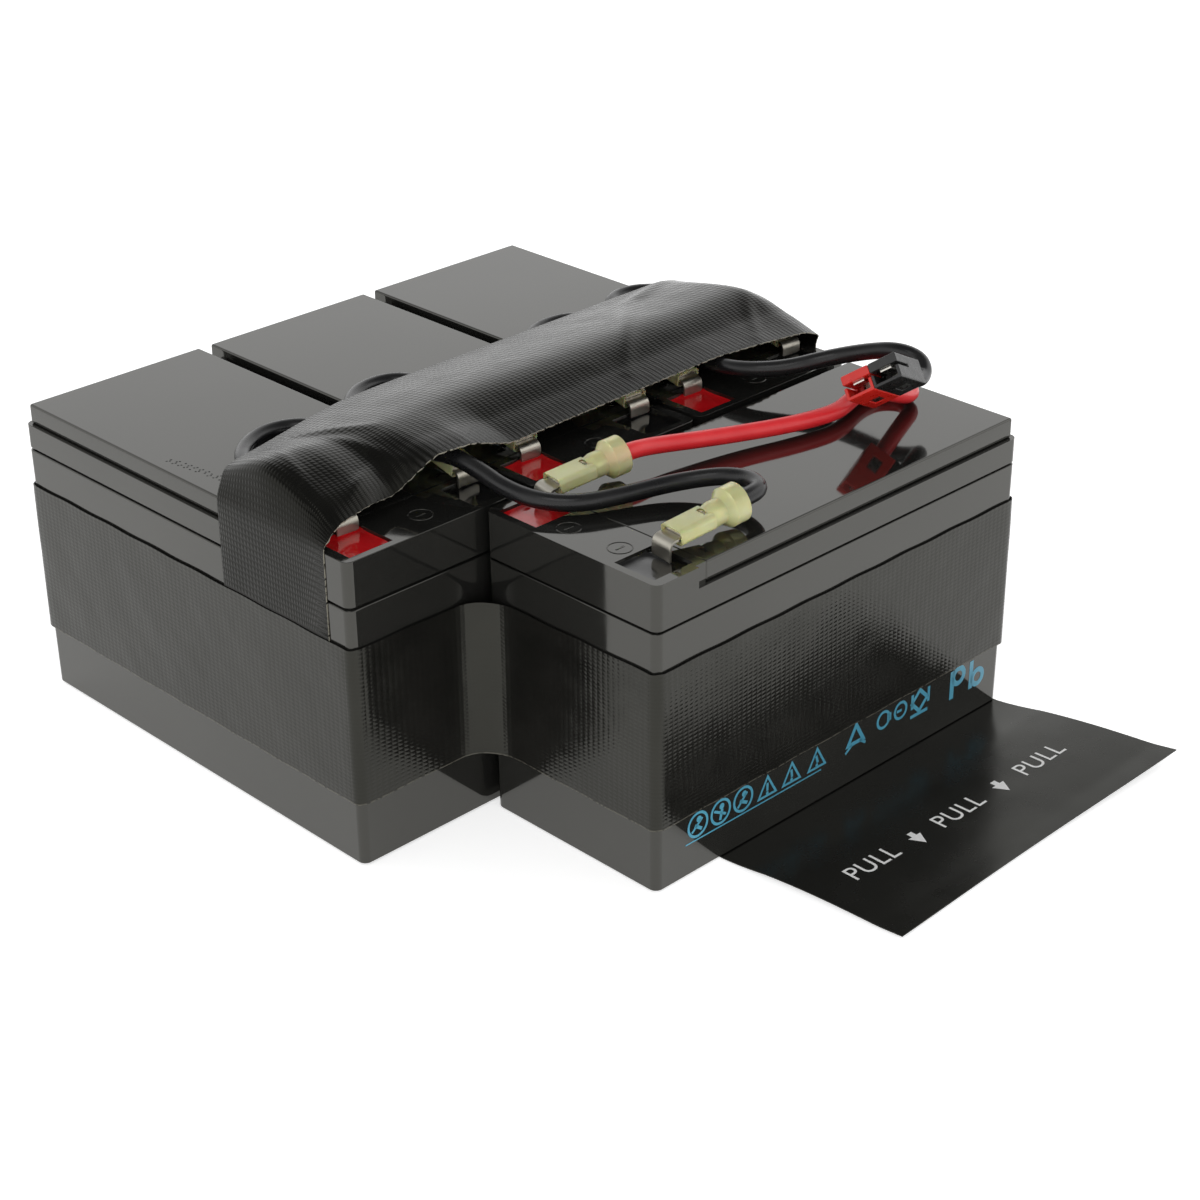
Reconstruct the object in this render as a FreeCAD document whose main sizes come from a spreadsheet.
import FreeCAD, Part
import Sketcher

import math
import os

# Replacement battery pack of a rack-mounted uninterruptible power supply: four
# 12 V sealed lead-acid batteries in series, bound with woven tape. Millimetres.
# The origin is on the floor under the middle of the pack's outline, +Z is up,
# and the front, where the pull sheet comes out, faces -Y.
#
# Each battery is built in its own frame, in the middle of its footprint: the
# terminals are at its -X end, the positive one on the +Y side.

doc = FreeCAD.newDocument("battery_pack")
book = doc.addObject("Spreadsheet::Sheet", "Dimensions")

SIZES = [
    ("case_length", 151.0, "battery, long side"),
    ("case_width", 65.0, "battery, short side"),
    ("case_height", 79.5, "open case, without the lid"),
    ("case_draft", 0.5, "how far the walls lean in at the foot"),
    ("corner_radius", 2.5, "upright corners"),
    ("wall", 2.5, "case wall and floor"),
    ("partition", 1.5, "walls between cells"),
    ("groove_height", 0.8, "dark line between case and lid"),
    ("groove_depth", 1.2, "how deep that line is"),
    ("deck_height", 87.7, "top of the lid's deck, under the vent cover"),
    ("deck_thickness", 2.5, "the deck itself"),
    ("battery_height", 93.8, "top of the lid"),
    ("block_length", 15.7, "full-width terminal block"),
    ("cover_start", 19.6, "where the vent cover begins"),
    ("ledge", 1.4, "step round the vent cover"),
    ("cover_wall", 1.5, "vent cover's shell"),
    ("well_side", 14.5, "square terminal well"),
    ("well_floor", 86.5, "bottom of a well"),
    ("well_end_gap", 2.4, "from the battery's end to a well"),
    ("negative_well", 10.5, "well's centre, from the low side"),
    ("positive_well", 54.5, "well's centre, from the low side"),
    ("seal_top", 92.2, "surface of the sealing resin"),
    ("tab_thickness", 0.8, "tinned brass"),
    ("tab_width", 7.3, "shouldered lower part"),
    ("blade_width", 6.35, "tip that the receptacle grips"),
    ("tab_bend", 2.2, "bend radius at mid thickness"),
    ("nozzle_radius", 3.5, "vent nozzle, outside"),
    ("nozzle_bore", 2.2, "vent nozzle, inside"),
    ("nozzle_top", 90.2, "height of a nozzle's rim"),
    ("cap_radius", 5.0, "rubber valve cap"),
    ("cap_bottom", 88.1, "skirt of a cap"),
    ("cap_top", 91.7, "crown of a cap"),
    ("plate_bottom", 3.0, "foot of the plates"),
    ("plate_top", 66.0, "shoulder of the plates"),
    ("lug_top", 70.0, "top of the plates' lugs"),
    ("strap_top", 74.0, "cast straps"),
    ("sheet_thickness", 0.3, "black pull sheet"),
    ("adhesive_thickness", 0.2, "double-sided strips"),
    ("band_bottom", 20.0, "lower edge of the band"),
    ("band_width", 48.0, "tape width"),
    ("band_gap", 0.36, "leaves room for the tape under it"),
    ("tape_thickness", 0.3, "woven tape"),
    ("wire_diameter", 5.0, "insulated lead"),
    ("sleeve_length", 23.0, "nylon sleeve"),
    ("bell_radius", 5.6, "flared end of a sleeve"),
    ("housing_width", 9.0, "one connector housing"),
    ("housing_height", 7.6, "one connector housing"),
    ("housing_length", 15.6, "one connector housing"),
]
for row, (alias, value, meaning) in enumerate(SIZES, start=1):
    book.set(f"A{row}", alias)
    book.set(f"B{row}", str(value))
    book.set(f"C{row}", meaning)
    book.setAlias(f"B{row}", alias)
doc.recompute()

# How the tabs stand: upright leg from the battery's end, middle of the blade, degrees
# that the blade points up, and from the end of the bend to the sleeve's open end.
BACK_TABS = (16.0, 97.1, 10.0, 0.3)
FRONT_TABS = (14.7, 98.0, 7.0, 1.5)
STANCE = {
    "battery_1": BACK_TABS,
    "battery_2": BACK_TABS,
    "battery_3": BACK_TABS,
    "battery_4": FRONT_TABS,
}
# Each tab's offset across from the middle of its well, and its twist about +Z in
# degrees, as the leads pull it: the negative tab, then the positive one.
PULL = {
    "battery_1": ((-2.4, -3.0), (-3.2, -2.0)),
    "battery_2": ((-3.2, -3.0), (-3.4, -2.0)),
    "battery_3": ((-3.2, -3.0), (-3.2, -2.0)),
    "battery_4": ((2.1, -6.0), (3.4, -9.5)),
}
WIRE_START = 16.0  # where a wire's insulation ends, from its sleeve's open end
WIRE_STRAIGHT = 25.0  # and where it may start to bend
ROW_FRONT = 66.4  # front of the back row, from the front of the pack
ROW_PITCH = 66.6  # from one battery of the back row to the next
PACK = (198.2, 217.4)  # the pack's outline
EXPORT = []  # what is written, in this order


def size(alias):
    """A driving dimension from the sheet."""
    return float(book.get(alias))


def cell(alias):
    """The same dimension as an expression's term."""
    return f"<<Dimensions>>.{alias}" if alias in NAMES else alias


NAMES = {alias for alias, _, _ in SIZES}
book.Label = "Dimensions"


def terms(text):
    """An expression with every alias turned into a reference to the sheet."""
    return " ".join(cell(word) for word in text.split())


def value_of(text):
    """What such an expression comes to now."""
    total, sign = 0.0, 1.0
    factor = 1.0
    for word in text.split():
        if word in "+-":
            sign = 1.0 if word == "+" else -1.0
        elif word == "/":
            factor = -1.0
        elif factor < 0:
            total += sign * (last / float(word) - last)
            factor = 1.0
        else:
            last = size(word) if word in NAMES else float(word)
            total += sign * last
    return total


def move(x, y, z, turn=0.0):
    """A placement: a turn about +Z, then a shift."""
    spin = FreeCAD.Rotation(FreeCAD.Vector(0, 0, 1), turn)
    return FreeCAD.Placement(FreeCAD.Vector(x, y, z), spin)


FLOOR_GAP = size("sheet_thickness") + size("adhesive_thickness")
MID_X = PACK[0] / 2
MID_Y = PACK[1] / 2
BACK_Y = ROW_FRONT + size("case_length") / 2 - MID_Y
BATTERIES = {
    "battery_1": move(size("case_width") / 2 - MID_X, BACK_Y, FLOOR_GAP, 90),
    "battery_2": move(size("case_width") / 2 + ROW_PITCH - MID_X, BACK_Y, FLOOR_GAP, 90),
    "battery_3": move(size("case_width") / 2 + 2 * ROW_PITCH - MID_X, BACK_Y, FLOOR_GAP, 90),
    "battery_4": move(MID_X - size("case_length") / 2, size("case_width") / 2 - MID_Y, FLOOR_GAP),
}


def keep(piece, label, placement=None):
    """Names a finished piece, places it and puts it on the list to export."""
    piece.Label = label
    if placement is not None:
        piece.Placement = placement
    EXPORT.append(piece)
    return piece


def shape_piece(label, shape, placement=None):
    """A piece whose shape comes from Part's own functions."""
    piece = doc.addObject("Part::Feature", label)
    piece.Shape = shape
    return keep(piece, label, placement)


def grid(first, step, count):
    """Evenly spaced numbers."""
    return [first + step * index for index in range(count)]


# ---------------------------------------------------------------- sketches

def new_sketch(body, name, height="0"):
    """An empty sketch on the body's own ground plane, lifted to a height."""
    plane = next(f for f in body.Origin.OriginFeatures if f.Role == "XY_Plane")
    sketch = body.newObject("Sketcher::SketchObject", name)
    sketch.AttachmentSupport = (plane, [""])
    sketch.MapMode = "FlatFace"
    sketch.AttachmentOffset = move(0, 0, value_of(height))
    sketch.setExpression("AttachmentOffset.Base.z", terms(height))
    return sketch


def from_origin(sketch, kind, geometry, point, text):
    """Fixes a point's distance from the origin along one axis, by expression."""
    value = value_of(text)
    ends = (-1, 1, geometry, point) if value >= 0 else (geometry, point, -1, 1)
    index = sketch.addConstraint(Sketcher.Constraint(kind, *ends, abs(value)))
    sketch.setExpression(f"Constraints[{index}]", f"abs({terms(text)})")


def rectangle(sketch, left, low, right, high):
    """A rectangle from four expressions, tied to the origin."""
    x0, y0, x1, y1 = (value_of(text) for text in (left, low, right, high))
    corners = [FreeCAD.Vector(x, y, 0) for x, y in ((x0, y0), (x1, y0), (x1, y1), (x0, y1))]
    first = sketch.GeometryCount
    for index in range(4):
        sketch.addGeometry(Part.LineSegment(corners[index], corners[(index + 1) % 4]), False)
    for index in range(4):
        after = first + (index + 1) % 4
        sketch.addConstraint(Sketcher.Constraint("Coincident", first + index, 2, after, 1))
        way = "Horizontal" if index % 2 == 0 else "Vertical"
        sketch.addConstraint(Sketcher.Constraint(way, first + index))
    from_origin(sketch, "DistanceX", first, 1, left)
    from_origin(sketch, "DistanceY", first, 1, low)
    from_origin(sketch, "DistanceX", first + 2, 1, right)
    from_origin(sketch, "DistanceY", first + 2, 1, high)


def circle(sketch, x, y, radius):
    """A circle at a place in millimetres, its radius from the sheet."""
    round_one = Part.Circle(FreeCAD.Vector(x, y, 0), FreeCAD.Vector(0, 0, 1), size(radius))
    index = sketch.addGeometry(round_one, False)
    from_origin(sketch, "DistanceX", index, 3, str(x))
    from_origin(sketch, "DistanceY", index, 3, str(y))
    fixed = sketch.addConstraint(Sketcher.Constraint("Radius", index, size(radius)))
    sketch.setExpression(f"Constraints[{fixed}]", terms(radius))


def pad(body, sketch, height):
    """Grows the body from a sketch."""
    made = body.newObject("PartDesign::Pad", "Pad_" + sketch.Name)
    made.Profile = sketch
    made.Length = value_of(height)
    made.setExpression("Length", terms(height))
    doc.recompute()
    return made


def pocket(body, sketch, depth, upward=False):
    """Cuts into the body from a sketch, and makes sure that it removed material."""
    before = body.Shape.Volume
    made = body.newObject("PartDesign::Pocket", "Pocket_" + sketch.Name)
    made.Profile = sketch
    made.Length = value_of(depth)
    made.setExpression("Length", terms(depth))
    made.Reversed = upward
    doc.recompute()
    assert body.Shape.Volume < before - 1, f"{made.Name} cut nothing"
    return made


def upright_fillet(body, base, radius, reach):
    """Rounds the upright edges that lie at least reach from the middle in X."""
    edges = []
    for number, edge in enumerate(base.Shape.Edges, start=1):
        ends = [vertex.Point for vertex in edge.Vertexes]
        if len(ends) == 2 and abs(ends[0].x) > reach and abs(ends[1].x) > reach:
            if abs(ends[0].z - ends[1].z) > 4 * math.hypot(ends[0].x - ends[1].x, ends[0].y - ends[1].y):
                if abs(ends[0].y) > size("case_width") / 2 - 2:
                    edges.append(f"Edge{number}")
    made = body.newObject("PartDesign::Fillet", "Corners_" + body.Name)
    made.Base = (base, edges)
    made.Radius = size(radius)
    made.setExpression("Radius", terms(radius))
    doc.recompute()
    return made


# --------------------------------------------------------------- a battery

def cell_spaces():
    """The six cell spaces of a battery, two rows of three: (x0, y0, x1, y1)."""
    inside_x = size("case_length") - 2 * size("wall")
    inside_y = size("case_width") - 2 * size("wall")
    long_side = (inside_x - 2 * size("partition")) / 3
    short_side = (inside_y - size("partition")) / 2
    spaces = []
    for y0 in grid(-inside_y / 2, short_side + size("partition"), 2):
        for x0 in grid(-inside_x / 2, long_side + size("partition"), 3):
            spaces.append((x0, y0, x0 + long_side, y0 + short_side))
    return spaces


def nozzle_centres():
    """The nozzles, one to a cell, drawn in under the vent cover off the terminal block."""
    middles = [((x0 + x1) / 2, (y0 + y1) / 2) for x0, y0, x1, y1 in cell_spaces()]
    return [(round(x + 4, 3), round(y * 0.9, 3)) for x, y in middles]


def lean_walls(body, block):
    """Leans the upright faces in towards the foot, which lets the case leave its mould."""
    upright, top = [], None
    for number, face in enumerate(block.Shape.Faces, start=1):
        normal = face.normalAt(0, 0)
        if abs(normal.z) < 0.5:
            upright.append(f"Face{number}")
        elif normal.z > 0.5:
            top = f"Face{number}"
    made = body.newObject("PartDesign::Draft", "Draft_" + body.Name)
    made.Base = (block, upright)
    made.NeutralPlane = (block, [top])
    made.Angle = math.degrees(math.atan(size("case_draft") / size("case_height")))
    made.setExpression("Angle", terms("atan( case_draft / case_height )"))
    made.Reversed = True
    doc.recompute()
    return made


def cut_cells(body, name, height, depth, upward):
    """Cuts the six cell spaces, with the partitions left standing."""
    sketch = new_sketch(body, name, height)
    for space in cell_spaces():
        rectangle(sketch, *(str(round(edge, 4)) for edge in space))
    return pocket(body, sketch, depth, upward)


def outline(sketch, inset):
    """The battery's footprint, drawn in by an inset."""
    rectangle(
        sketch,
        f"{inset} - case_length / 2",
        f"{inset} - case_width / 2",
        f"case_length / 2 - {inset}",
        f"case_width / 2 - {inset}",
    )


def make_case(name, placement):
    """Open case, a moulded box that is a little narrower at its foot, with six cells."""
    body = doc.addObject("PartDesign::Body", name + "_case")
    foot = new_sketch(body, name + "_foot")
    outline(foot, "0")
    walls = lean_walls(body, pad(body, foot, "case_height"))
    upright_fillet(body, walls, "corner_radius", size("case_length") / 2 - 2)
    cut_cells(body, name + "_cells", "case_height", "case_height - wall", False)
    return keep(body, name + "_case", placement)


def well_edges(side):
    """A terminal well's four edges as expressions; side is its centre's alias."""
    return (
        "well_end_gap - case_length / 2",
        f"{side} - well_side / 2 - case_width / 2",
        "well_end_gap + well_side - case_length / 2",
        f"{side} + well_side / 2 - case_width / 2",
    )


def make_lid(name, placement):
    """Lid glued on the case: deck, terminal block with two wells, six vent nozzles."""
    body = doc.addObject("PartDesign::Body", name + "_lid")
    neck = new_sketch(body, name + "_neck", "case_height")
    outline(neck, "groove_depth")
    pad(body, neck, "groove_height")
    deck = new_sketch(body, name + "_deck", "case_height + groove_height")
    outline(deck, "0")
    pad(body, deck, "deck_height - case_height - groove_height")
    block = new_sketch(body, name + "_block", "deck_height")
    rectangle(
        block,
        "0 - case_length / 2",
        "0 - case_width / 2",
        "block_length - case_length / 2",
        "case_width / 2",
    )
    pad(body, block, "battery_height - deck_height")
    step = new_sketch(body, name + "_step", "deck_height")
    rectangle(
        step,
        "block_length - case_length / 2",
        "ledge - case_width / 2",
        "cover_start - case_length / 2",
        "case_width / 2 - ledge",
    )
    top = pad(body, step, "battery_height - deck_height")
    upright_fillet(body, top, "corner_radius", size("case_length") / 2 - 1)
    nozzles = new_sketch(body, name + "_nozzles", "deck_height")
    for x, y in nozzle_centres():
        circle(nozzles, x, y, "nozzle_radius")
    pad(body, nozzles, "nozzle_top - deck_height")
    cut_cells(body, name + "_roof", "case_height", "deck_height - deck_thickness - case_height", True)
    wells = new_sketch(body, name + "_wells", "battery_height")
    rectangle(wells, *well_edges("negative_well"))
    rectangle(wells, *well_edges("positive_well"))
    pocket(body, wells, "battery_height - well_floor")
    bores = new_sketch(body, name + "_bores", "nozzle_top")
    for x, y in nozzle_centres():
        circle(bores, x, y, "nozzle_bore")
    for x, y in post_centres(name):
        circle(bores, round(x, 3), round(y, 3), "nozzle_bore")
    pocket(body, bores, "nozzle_top - case_height - groove_height")
    return keep(body, name + "_lid", placement)


def post_centres(name):
    """The two terminal posts, straight under the tabs."""
    x = STANCE[name][0] - size("case_length") / 2
    wells = ("negative_well", "positive_well")
    return [
        (x, size(well) + pull[0] - size("case_width") / 2) for well, pull in zip(wells, PULL[name])
    ]


def make_vent_cover(name, placement):
    """Shallow cap glued over the vents, flush with the terminal block."""
    body = doc.addObject("PartDesign::Body", name + "_vent_cover")
    outside = new_sketch(body, name + "_cap", "deck_height")
    rectangle(
        outside,
        "cover_start - case_length / 2",
        "ledge - case_width / 2",
        "case_length / 2 - ledge",
        "case_width / 2 - ledge",
    )
    pad(body, outside, "battery_height - deck_height")
    inside = new_sketch(body, name + "_hollow", "deck_height")
    rectangle(
        inside,
        "cover_start + cover_wall - case_length / 2",
        "ledge + cover_wall - case_width / 2",
        "case_length / 2 - ledge - cover_wall",
        "case_width / 2 - ledge - cover_wall",
    )
    pocket(body, inside, "battery_height - deck_height - cover_wall", True)
    return keep(body, name + "_vent_cover", placement)


def make_valve_caps(name, placement):
    """Six rubber caps, each pushed over a vent nozzle."""
    body = doc.addObject("PartDesign::Body", name + "_valve_caps")
    crowns = new_sketch(body, name + "_crowns", "cap_bottom")
    skirts = new_sketch(body, name + "_skirts", "cap_bottom")
    for x, y in nozzle_centres():
        circle(crowns, x, y, "cap_radius")
        circle(skirts, x, y, "nozzle_radius")
    pad(body, crowns, "cap_top - cap_bottom")
    pocket(body, skirts, "nozzle_top - cap_bottom", True)
    return keep(body, name + "_valve_caps", placement)


def tab_shape(height, pitch):
    """A tinned tab: upright leg, bend, and a narrower blade pointing a little up."""
    half = size("tab_thickness") / 2
    bend = size("tab_bend")
    turn = math.pi / 2 + math.radians(pitch)
    along = FreeCAD.Vector(math.sin(turn), 0, -math.cos(turn))
    shoulder, tip = 1.0, 7.6  # how far the wide and the narrow part reach beyond the bend
    foot = size("well_floor") - height + bend

    def on_arc(radius, angle):
        return FreeCAD.Vector(bend + radius * math.cos(angle), 0, radius * math.sin(angle))

    def strip(reach, width):
        outer, inner = bend + half, bend - half
        outer_end, inner_end = on_arc(outer, turn), on_arc(inner, turn)
        middle = (math.pi + turn) / 2
        edges = [
            Part.LineSegment(FreeCAD.Vector(-half, 0, foot), on_arc(outer, math.pi)),
            Part.Arc(on_arc(outer, math.pi), on_arc(outer, middle), outer_end),
            Part.LineSegment(outer_end, outer_end + along * reach),
            Part.LineSegment(outer_end + along * reach, inner_end + along * reach),
            Part.LineSegment(inner_end + along * reach, inner_end),
            Part.Arc(inner_end, on_arc(inner, middle), on_arc(inner, math.pi)),
            Part.LineSegment(on_arc(inner, math.pi), FreeCAD.Vector(half, 0, foot)),
            Part.LineSegment(FreeCAD.Vector(half, 0, foot), FreeCAD.Vector(-half, 0, foot)),
        ]
        face = Part.Face(Part.Wire([edge.toShape() for edge in edges]))
        solid = face.extrude(FreeCAD.Vector(0, width, 0))
        solid.translate(FreeCAD.Vector(0, -width / 2, 0))
        return solid

    return strip(shoulder, size("tab_width")).fuse(strip(tip, size("blade_width"))).removeSplitter()


def tab_places(name):
    """Where a battery's two tabs stand: the middle of each bend's circle, less the bend."""
    height = STANCE[name][1] - size("tab_bend")
    return [
        move(x, y, height, twist) for (x, y), (_, twist) in zip(post_centres(name), PULL[name])
    ]


def make_tabs(name, placement):
    """Both terminal tabs of a battery, negative first."""
    _, height, pitch, _ = STANCE[name]
    tabs = []
    for place in tab_places(name):
        tab = tab_shape(height, pitch)
        tab.Placement = place
        tabs.append(tab)
    return shape_piece(name + "_terminal_tabs", Part.makeCompound(tabs), placement)


def make_seal(name, placement, side, label, tabs):
    """Coloured resin that fills a well round its tab."""
    left, low = (value_of(text) for text in well_edges(side)[:2])
    block = doc.addObject("Part::Box", f"{name}_{label}_block")
    block.setExpression("Length", terms("well_side"))
    block.setExpression("Width", terms("well_side"))
    block.setExpression("Height", terms("seal_top - well_floor"))
    block.Placement = placement.multiply(move(left, low, size("well_floor")))
    seal = doc.addObject("Part::Cut", f"{name}_{label}_seal")
    seal.Base = block
    seal.Tool = tabs
    return keep(seal, f"{name}_{label}_seal")


# Each cell holds nine plates on edge, side by side across the short way.
POSITIVE_PLATE, NEGATIVE_PLATE, GLASS_MAT = 2.5, 1.8, 1.2
PAIRS = 4  # positive plates in a cell; there is one more negative
PLATE_MARGIN = 1.2  # between a plate's edge and the cell wall
LUG = 8.0  # width of a plate's lug


def stack(kind):
    """The plates of one kind, or the mats between them, as (x0, y0, x1, y1, flipped)."""
    pitch = POSITIVE_PLATE + NEGATIVE_PLATE + 2 * GLASS_MAT
    total = PAIRS * pitch + NEGATIVE_PLATE
    found = []
    for number, (x0, y0, x1, y1) in enumerate(cell_spaces()):
        start = (y0 + y1 - total) / 2
        flipped = number % 2 == 1
        negative = [(y, NEGATIVE_PLATE) for y in grid(start, pitch, PAIRS + 1)]
        mats = [(y + NEGATIVE_PLATE, GLASS_MAT) for y in grid(start, pitch, PAIRS)]
        mats += [(y - GLASS_MAT, GLASS_MAT) for y in grid(start + pitch, pitch, PAIRS)]
        first = start + NEGATIVE_PLATE + GLASS_MAT
        positive = [(y, POSITIVE_PLATE) for y in grid(first, pitch, PAIRS)]
        chosen = {"negative": negative, "positive": positive, "mats": mats}[kind]
        for y, thick in chosen:
            found.append((x0 + PLATE_MARGIN, y, x1 - PLATE_MARGIN, y + thick, flipped))
    return found


def box_between(x0, y0, z0, x1, y1, z1):
    """A plain block between two corners."""
    return Part.makeBox(x1 - x0, y1 - y0, z1 - z0, FreeCAD.Vector(x0, y0, z0))


def lug_place(x0, x1, at_start):
    """Where a plate's lug, or a strap over a row of lugs, lies along X."""
    return (x0 + 3, x0 + 3 + LUG) if at_start else (x1 - 3 - LUG, x1 - 3)


def make_plates(name, placement, kind):
    """Flat pasted grids with a lug on the top edge."""
    plates = []
    for x0, y0, x1, y1, flipped in stack(kind):
        plate = box_between(x0, y0, size("plate_bottom"), x1, y1, size("plate_top"))
        at_start = (kind == "positive") != flipped
        left, right = lug_place(x0, x1, at_start)
        lug = box_between(left, y0, size("plate_top"), right, y1, size("lug_top"))
        plates.append(plate.fuse(lug).removeSplitter())
    return shape_piece(f"{name}_{kind}_plates", Part.makeCompound(plates), placement)


def make_separators(name, placement):
    """Glass-fibre mats that hold the acid between the plates."""
    mats = [
        box_between(x0, y0, size("plate_bottom"), x1, y1, size("plate_top"))
        for x0, y0, x1, y1, _ in stack("mats")
    ]
    return shape_piece(name + "_separators", Part.makeCompound(mats), placement)


def make_straps(name, placement):
    """Cast lead straps over the lugs, and the two terminal posts."""
    low, high = size("lug_top"), size("strap_top")
    straps = []
    for x0, y0, x1, y1 in cell_spaces():
        for at_start in (True, False):
            left, right = lug_place(x0 + PLATE_MARGIN, x1 - PLATE_MARGIN, at_start)
            straps.append(box_between(left, y0 + 1, low, right, y1 - 1, high))
    for x, y in post_centres(name):
        foot = Part.makeCylinder(2.0, size("well_floor") - high, FreeCAD.Vector(x, y, high))
        straps.append(foot)
    fused = straps[0].multiFuse(straps[1:]).removeSplitter()
    return shape_piece(name + "_cell_straps", fused, placement)


def make_battery(name, placement):
    """The eleven pieces of one battery."""
    make_case(name, placement)
    make_lid(name, placement)
    make_vent_cover(name, placement)
    tabs = make_tabs(name, placement)
    make_seal(name, placement, "positive_well", "positive", tabs)
    make_seal(name, placement, "negative_well", "negative", tabs)
    make_valve_caps(name, placement)
    make_plates(name, placement, "positive")
    make_plates(name, placement, "negative")
    make_separators(name, placement)
    make_straps(name, placement)


# ------------------------------------------------------ quick-connect ends

def terminal_frames():
    """A frame at each sleeve's open end, X along the sleeve: by battery and pole."""
    bend = size("tab_bend")
    frames = {}
    for name, placement in BATTERIES.items():
        _, _, pitch, gap = STANCE[name]
        lean = math.radians(pitch)
        end_of_bend = FreeCAD.Vector(bend * (1 - math.sin(lean)), 0, bend * math.cos(lean))
        tilt = FreeCAD.Rotation(FreeCAD.Vector(0, 1, 0), -pitch)
        blade = FreeCAD.Placement(end_of_bend, tilt).multiply(move(gap, 0, 0))
        for pole, place in zip(("negative", "positive"), tab_places(name)):
            frames[name, pole] = placement.multiply(place).multiply(blade)
    return frames


FLAT_BARREL = 12.0  # sleeve's flat front part, along it
WAIST = (13.5, 16.5)  # its narrow crimped stretch
BELL = 18.5  # where the bell is at its full width


def lying_cylinder(radius, start, end):
    """A cylinder along X."""
    place = FreeCAD.Vector(start, 0, 0)
    return Part.makeCylinder(radius, end - start, place, FreeCAD.Vector(1, 0, 0))


def lying_cone(first, last, start, end):
    """A cone along X."""
    place = FreeCAD.Vector(start, 0, 0)
    return Part.makeCone(first, last, end - start, place, FreeCAD.Vector(1, 0, 0))


def sleeve_shape():
    """Nylon sleeve: flat barrel, waist over the crimp, bell round the wire."""
    bell, long = size("bell_radius"), size("sleeve_length")
    flat = box_between(0, -4.3, -2.3, FLAT_BARREL, 4.3, 2.3)
    edges = [e for e in flat.Edges if abs(e.Vertexes[0].X - e.Vertexes[1].X) > 1]
    flat = flat.makeFillet(1.5, edges)
    outside = flat.fuse(
        [
            lying_cone(2.6, 3.7, FLAT_BARREL - 2, WAIST[0]),
            lying_cylinder(3.7, *WAIST),
            lying_cone(3.7, bell, WAIST[1], BELL),
            lying_cylinder(bell, BELL, long),
        ]
    )
    inside = [
        box_between(-1, -3.7, -1.7, FLAT_BARREL - 1, 3.7, 1.7),
        lying_cylinder(2.9, FLAT_BARREL - 2, WAIST[1]),
        lying_cone(2.9, bell - 1, WAIST[1], BELL),
        lying_cylinder(bell - 1, BELL, long + 1),
    ]
    return outside.removeSplitter().cut(inside)


def receptacle_shape():
    """Tinned receptacle in the sleeve: rolled barrel with a slot, then the crimp."""
    barrel = box_between(0.6, -3.6, -1.4, 8.8, 3.6, 1.4)
    slot = box_between(-1, -3.3, -0.5, 8.2, 3.3, 0.5)
    neck = box_between(8.8, -1.8, -1.2, 10.4, 1.8, 1.2)
    crimp = lying_cylinder(2.5, 10.4, WIRE_START)
    return barrel.cut(slot).fuse([neck, crimp]).removeSplitter()


def make_quick_connects():
    """Eight receptacles and the sleeves over them."""
    for label, shape in (
        ("receptacle_sleeves", sleeve_shape()),
        ("receptacles", receptacle_shape()),
    ):
        copies = []
        for frame in terminal_frames().values():
            one = shape.copy()
            one.Placement = frame
            copies.append(one)
        shape_piece(label, Part.makeCompound(copies))


# ------------------------------------------------------------------ wires

# Each wire's route between its two ends: the bends' corners, outside the sleeves.
ROUTES = {
    "jumper_4_1": [
        (-1.0, -98.2, 101.6), (2.4, -90.8, 101.2), (-0.4, -82.4, 100.2), (-10.4, -73.6, 98.4),
        (-24.6, -68.6, 97.6), (-36.0, -64.0, 97.5), (-42.8, -55.2, 97.7), (-45.2, -44.4, 98.8),
        (-45.4, -34.4, 101.2), (-47.4, -25.2, 103.6), (-51.4, -14.2, 103.0),
        (-53.6, -2.4, 101.2), (-54.2, 9.2, 99.2), (-52.8, 20.4, 98.0), (-54.8, 30.8, 97.5),
        (-64.4, 35.0, 97.4), (-75.2, 31.2, 97.4), (-83.0, 22.6, 97.9), (-85.6, 11.8, 99.8),
    ],
    "jumper_1_2": [
        (-42.4, 11.4, 100.2), (-40.6, 22.4, 98.4), (-36.0, 32.8, 97.6), (-26.4, 39.6, 97.4),
        (-15.4, 39.0, 97.4), (-10.0, 30.4, 97.6), (-12.4, 19.8, 98.6), (-17.4, 10.6, 100.4),
    ],
    "jumper_2_3": [
        (26.0, 11.4, 100.2), (29.2, 22.4, 98.4), (35.4, 32.4, 97.6), (45.6, 37.8, 97.4),
        (56.4, 36.4, 97.4), (61.2, 27.2, 97.6), (57.4, 17.2, 98.8), (49.6, 10.0, 100.4),
    ],
    "red_lead": [
        (0.4, -56.2, 100.6), (14.6, -60.4, 99.2), (29.2, -65.0, 98.2), (43.6, -70.0, 97.8),
        (58.4, -73.0, 97.6), (67.2, -70.6, 97.5), (75.8, -67.6, 97.4), (84.0, -67.2, 97.4),
        (89.2, -72.2, 97.4), (87.0, -78.8, 97.4), (80.0, -80.93, 98.3),
    ],
    "black_lead": [
        (92.8, 11.4, 100.2), (95.0, 22.4, 98.4), (94.4, 33.4, 97.6), (86.4, 40.0, 97.4),
        (76.4, 38.0, 97.4), (71.4, 28.8, 97.6), (69.6, 17.6, 98.4), (67.0, 6.0, 99.2),
        (63.0, -5.6, 99.8), (58.6, -17.2, 100.2), (55.2, -28.8, 100.8), (56.6, -39.6, 101.8),
        (64.2, -49.2, 103.0), (74.0, -56.2, 105.4), (79.8, -66.0, 108.6), (82.6, -76.0, 111.2),
        (84.6, -84.0, 109.2), (78.9, -88.2, 105.4),
    ],
}
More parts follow.
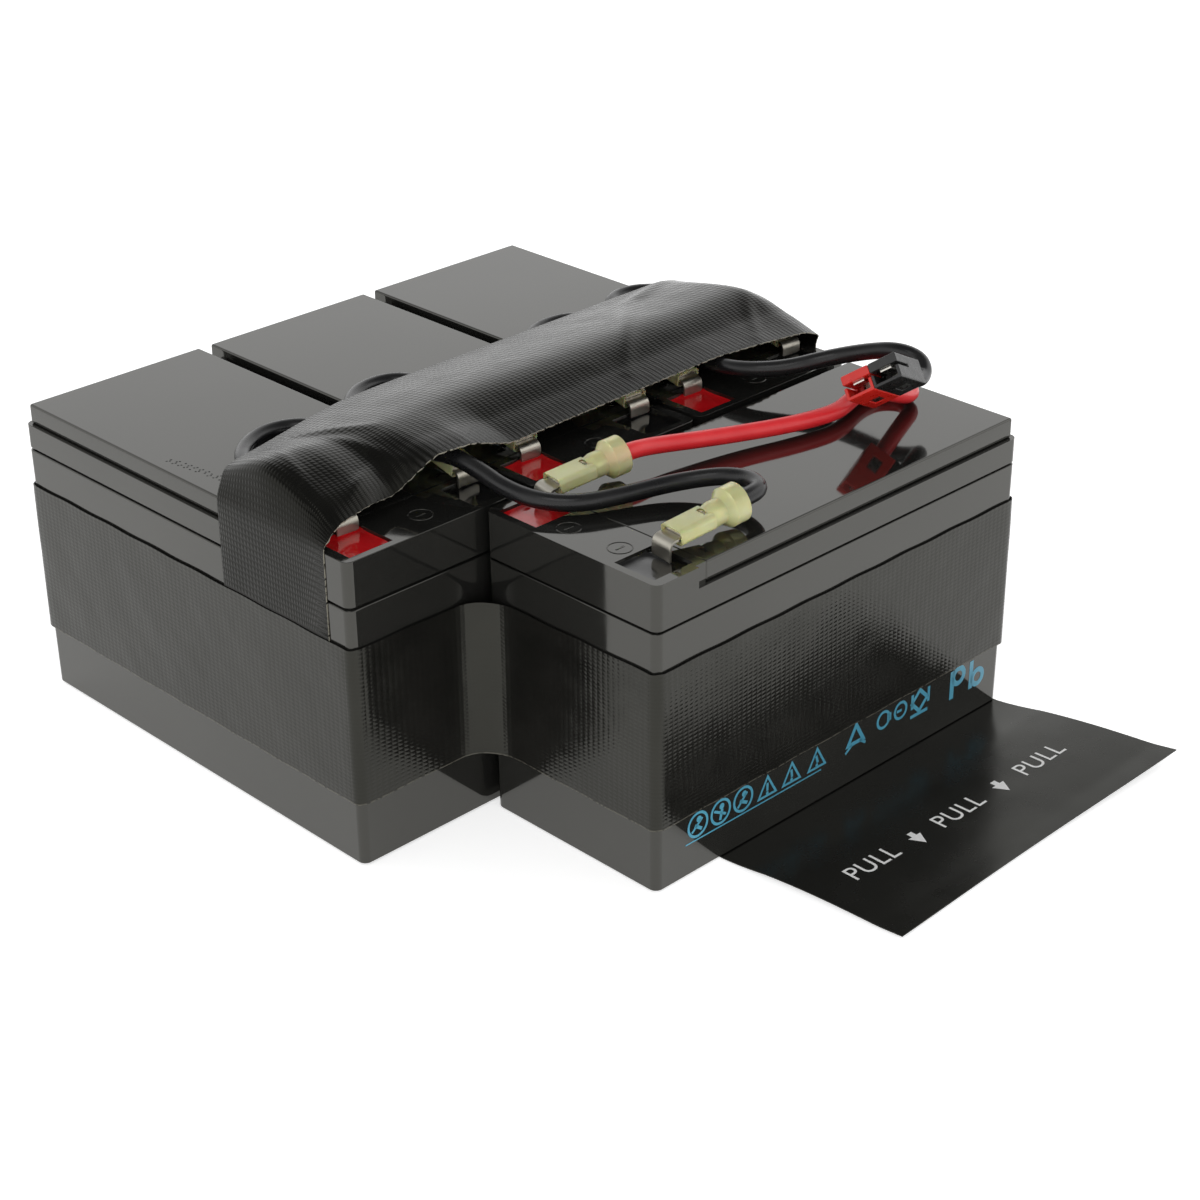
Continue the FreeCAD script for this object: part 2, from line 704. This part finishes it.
# The sleeves at a wire's ends; the leads end in a housing instead.
SLEEVE_ENDS = {
    "jumper_4_1": (("battery_4", "negative"), ("battery_1", "positive")),
    "jumper_1_2": (("battery_1", "negative"), ("battery_2", "positive")),
    "jumper_2_3": (("battery_2", "negative"), ("battery_3", "positive")),
    "red_lead": (("battery_4", "positive"), "red_housing"),
    "black_lead": (("battery_3", "negative"), "black_housing"),
}


def tube(label, points, diameter):
    """A wire: straight runs joined by the largest tangent arcs, swept with a circle."""
    corners = [FreeCAD.Vector(*point) for point in points]
    runs = [after - before for before, after in zip(corners, corners[1:])]
    edges, here = [], corners[0]
    for corner, before, after in zip(corners[1:-1], runs, runs[1:]):
        back = FreeCAD.Vector(before).normalize()
        ahead = FreeCAD.Vector(after).normalize()
        reach = 0.45 * min(before.Length, after.Length)
        half_turn = back.getAngle(ahead) / 2
        radius = reach / math.tan(half_turn)
        start, end = corner - back * reach, corner + ahead * reach
        inward = (ahead - back).normalize()
        middle = corner + inward * (radius / math.cos(half_turn) - radius)
        edges.append(Part.LineSegment(here, start).toShape())
        edges.append(Part.Arc(start, middle, end).toShape())
        here = end
    edges.append(Part.LineSegment(here, corners[-1]).toShape())
    path = Part.Wire(edges)
    ring = Part.Circle(corners[0], runs[0], diameter / 2)
    solid = path.makePipeShell([Part.Wire([ring.toShape()])], True, False)
    expected = math.pi * diameter**2 / 4 * path.Length
    assert abs(solid.Volume / expected - 1) < 0.02, f"{label} has a wrong volume"
    return solid


def sleeve_end(frame):
    """A wire's end in its sleeve, and the point up to which it stays straight."""
    return [
        tuple(round(number, 2) for number in frame.multVec(FreeCAD.Vector(reach, 0, 0)))
        for reach in (WIRE_START, WIRE_STRAIGHT)
    ]


def make_wires():
    """Three jumpers and the two leads to the connector."""
    frames = terminal_frames()
    for label, bends in ROUTES.items():
        first, last = SLEEVE_ENDS[label]
        points = sleeve_end(frames[first]) + bends
        if last in frames:
            points += reversed(sleeve_end(frames[last]))
        else:
            points.append(tuple(round(number, 2) for number in crimp_end(last)))
        shape_piece(label, tube(label, points, size("wire_diameter")))


# -------------------------------------------------------- connector halves

def housing_frame():
    """The pair's frame: X from the mating face to the rear, Y across, Z up through it."""
    along = FreeCAD.Vector(0.8835, 0.1224, -0.4500)
    across = FreeCAD.Vector(-0.3810, 0.7490, -0.5430)
    turn = FreeCAD.Rotation(along, across, along.cross(across), "XYZ")
    return FreeCAD.Placement(FreeCAD.Vector(54.5, -90.4, 111.4), turn)


def crimp_end(label):
    """Where a lead meets its contact's crimp, inside a housing's bore."""
    wide, high, long = (size("housing_" + side) for side in ("width", "height", "length"))
    across = wide / 2 if label == "red_housing" else -wide / 2
    return housing_frame().multVec(FreeCAD.Vector(long - WIRE_DEPTH, across, high / 2))


CUP_WALL = 1.0  # round the open cup under the tongue
CUP_TOP = 3.9  # where the cup ends and the slot for the mate's walls begins
TONGUE = 4.8  # underside of the tongue
CUP_DEPTH = 8.0
BORE_DEPTH = 7.0  # of the wire's bore, from the rear
WIRE_DEPTH = 2.0  # how far the wire's insulation goes into it
WINDOW = (8.0, 12.6)  # spring window in the floor, from the mating face


def make_housing(label, offset):
    """A moulded shell: open cup and slot in front, tongue over them, bore behind."""
    wide, high, long = (size("housing_" + side) for side in ("width", "height", "length"))
    shell = box_between(0, 0, 0, long, wide, high)
    upper = [e for e in shell.Edges if abs(e.Vertexes[0].X - e.Vertexes[1].X) > 1]
    shell = shell.makeFillet(0.5, upper)
    bore = Part.makeCylinder(
        2.9, BORE_DEPTH, FreeCAD.Vector(long - BORE_DEPTH, wide / 2, high / 2), FreeCAD.Vector(1, 0, 0)
    )
    cuts = [
        box_between(-1, CUP_WALL, CUP_WALL, CUP_DEPTH, wide - CUP_WALL, TONGUE),
        box_between(-1, -1, CUP_TOP, CUP_DEPTH - 1, wide + 1, TONGUE),
        box_between(CUP_DEPTH - 0.5, wide / 2 - 1.9, high / 2 - 1.2, long - BORE_DEPTH + 0.5,
                    wide / 2 + 1.9, TONGUE),
        box_between(WINDOW[0], wide / 2 - 1.7, -1, WINDOW[1], wide / 2 + 1.7, 0.8),
        bore,
    ]
    shell = shell.cut(cuts)
    return shape_piece(label, shell, housing_frame().multiply(move(0, offset, 0)))


def make_contacts():
    """The silver-plated contacts and the leaf springs that lock them."""
    wide, high, long = (size("housing_" + side) for side in ("width", "height", "length"))
    blade = box_between(1.2, wide / 2 - 1.8, TONGUE - 0.8, long - BORE_DEPTH, wide / 2 + 1.8, TONGUE)
    crimp = Part.makeCylinder(
        2.6, BORE_DEPTH - WIRE_DEPTH, FreeCAD.Vector(long - BORE_DEPTH, wide / 2, high / 2), FreeCAD.Vector(1, 0, 0)
    )
    contact = blade.fuse(crimp).removeSplitter()
    spring = box_between(WINDOW[0] + 0.2, wide / 2 - 1.5, 0.3, WINDOW[1] - 0.2, wide / 2 + 1.5, 0.8)
    for label, shape in (("housing_contacts", contact), ("contact_springs", spring)):
        pair = []
        for offset in (0, -wide):
            one = shape.copy()
            one.Placement = housing_frame().multiply(move(0, offset, 0))
            pair.append(one)
        shape_piece(label, Part.makeCompound(pair))


# ------------------------------------------------------- tapes and sheet

INNER_BEND = 12.0  # the band bridges the pack's inner corner in this curve
OUTER_BEND = 2.5


def band_path(out):
    """The pack's outline in plan, moved out by a distance, as a closed wire."""
    x0, y0 = -MID_X - out, ROW_FRONT - MID_Y - out
    x1, y1 = MID_X - size("case_length") - out, -MID_Y - out
    x2, y2 = MID_X + out, MID_Y + out
    corners = [(x1, y1), (x2, y1), (x2, y2), (x0, y2), (x0, y0), (x1, y0)]
    bends = [OUTER_BEND + out] * 5 + [INNER_BEND - out]
    edges, ends = [], []
    for index, (corner, bend) in enumerate(zip(corners, bends)):
        here = FreeCAD.Vector(*corner, 0)
        back = (FreeCAD.Vector(*corners[index - 1], 0) - here).normalize()
        ahead = (FreeCAD.Vector(*corners[(index + 1) % 6], 0) - here).normalize()
        middle = here + (back + ahead) * (bend * (1 - math.sqrt(0.5)))
        ends.append((here + back * bend, middle, here + ahead * bend))
    for index, (start, middle, end) in enumerate(ends):
        edges.append(Part.Arc(start, middle, end).toShape())
        edges.append(Part.LineSegment(end, ends[(index + 1) % 6][0]).toShape())
    return Part.Wire(edges)


def make_band():
    """Woven tape wound once round all four batteries."""
    inner = size("band_gap")
    outer = inner + size("tape_thickness")
    rise = FreeCAD.Vector(0, 0, size("band_width"))
    solid = Part.Face(band_path(outer)).extrude(rise)
    hollow = Part.Face(band_path(inner)).extrude(rise)
    shape_piece("band_tape", solid.cut(hollow), move(0, 0, FLOOR_GAP + size("band_bottom")))


# The second tape runs from left to right over the sleeves: at each station its
# height at four places from its front edge to its back edge, and those places.
TAPE_STATIONS = [
    (-99.12, (-33.5, -26, -8, 12.5), (47, 47, 47, 47)),
    (-99.12, (-33.5, -26, -8, 12.5), (95.6, 95.6, 95.6, 95.6)),
    (-95.0, (-32.0, -22, -3, 14.0), (97.8, 102.8, 107.2, 102.0)),
    (-91.8, (-31.5, -22, -3, 15.0), (99.6, 104.6, 108.6, 102.6)),
    (-79.0, (-29.0, -22, -3, 18.0), (100.2, 104.6, 108.6, 102.6)),
    (-69.0, (-26.4, -20, -3, 21.0), (98.6, 103.2, 107.4, 102.4)),
    (-56.0, (-29.5, -20, -3, 24.5), (107.4, 108.4, 108.6, 102.4)),
    (-44.0, (-31.0, -22, -3, 27.0), (107.4, 108.4, 108.6, 102.4)),
    (-30.0, (-30.6, -20, -3, 28.0), (102.8, 105.4, 108.6, 102.4)),
    (54.0, (-30.6, -20, -3, 31.0), (104.2, 105.8, 108.6, 101.4)),
    (72.0, (-32.0, -20, -3, 31.5), (103.6, 105.4, 108.4, 101.4)),
    (92.0, (-32.0, -20, -3, 30.0), (101.6, 104.6, 108.8, 102.2)),
    (98.6, (-31.6, -20, -3, 28.5), (99.0, 102.6, 105.4, 101.2)),
    (99.12, (-30.0, -20, -5, 28.0), (95.6, 95.6, 95.6, 95.6)),
    (99.12, (-30.0, -20, -5, 28.0), (47, 47, 47, 47)),
]


def make_terminal_tape():
    """The tape that holds the jumpers down, a thin skin from side to side."""
    thick = size("tape_thickness")
    rings = []
    for index, (x, places, heights) in enumerate(TAPE_STATIONS):
        on_side = index in (0, 1, len(TAPE_STATIONS) - 1, len(TAPE_STATIONS) - 2)
        out = math.copysign(thick, x) if on_side else 0.0
        up = 0.0 if index in (0, len(TAPE_STATIONS) - 1) else thick
        below = [FreeCAD.Vector(x, y, z) for y, z in zip(places, heights)]
        above = [point + FreeCAD.Vector(out, 0, up) for point in reversed(below)]
        rings.append(Part.makePolygon(below + above + below[:1]))
    shape_piece("terminal_tape", Part.makeLoft(rings, True, True))


SHEET_ROOT = (-25.6, 97.8)  # the sheet's sides, where it leaves the pack
SHEET_TIP = (-20.4, 105.6)  # and at its free edge
SHEET_OUT = 60.0  # how far it stands out of the front
SHEET_BACK = 200.0  # how far it reaches back under the pack
HINGE_GAP = 0.3  # between the stuck part and the free part


def sheet_part(label, outline_points):
    """A flat piece of black film lying on the floor."""
    corners = [FreeCAD.Vector(x, y, 0) for x, y in outline_points]
    face = Part.Face(Part.makePolygon(corners + corners[:1]))
    return shape_piece(label, face.extrude(FreeCAD.Vector(0, 0, size("sheet_thickness"))))


def make_sheet():
    """The stuck part of the pull sheet, its free flap, and the strips that hold it."""
    front = -MID_Y
    sheet_part(
        "pull_sheet",
        [(SHEET_ROOT[0], front), (SHEET_ROOT[1], front),
         (SHEET_ROOT[1], front + SHEET_BACK), (SHEET_ROOT[0], front + SHEET_BACK)],
    )
    sheet_part(
        "pull_flap",
        [(SHEET_ROOT[0], front - HINGE_GAP), (SHEET_TIP[0], front - SHEET_OUT),
         (SHEET_TIP[1], front - SHEET_OUT), (SHEET_ROOT[1], front - HINGE_GAP)],
    )
    strips = [
        box_between(SHEET_ROOT[0] + 6, y, 0, SHEET_ROOT[1] - 6, y + 25, size("adhesive_thickness"))
        for y in (front + 20, front + 90, front + 160)
    ]
    shape_piece("sheet_adhesive", Part.makeCompound(strips), move(0, 0, size("sheet_thickness")))


# ------------------------------------------------------------------ build

for battery, where in BATTERIES.items():
    make_battery(battery, where)
make_quick_connects()
make_wires()
make_housing("red_housing", 0.0)
make_housing("black_housing", -size("housing_width"))
make_contacts()
make_band()
make_terminal_tape()
make_sheet()
doc.recompute()

for item in doc.Objects:
    assert not {"Invalid", "Error"} & set(item.State), f"{item.Label} failed: {item.State}"
for piece in EXPORT:
    assert not piece.Shape.isNull() and piece.Shape.isValid(), f"{piece.Label} isn't a valid shape"

os.makedirs("parts", exist_ok=True)
for piece in EXPORT:
    piece.Shape.exportStep(os.path.join("parts", piece.Label + ".step"))
print(len(EXPORT), "pieces written")
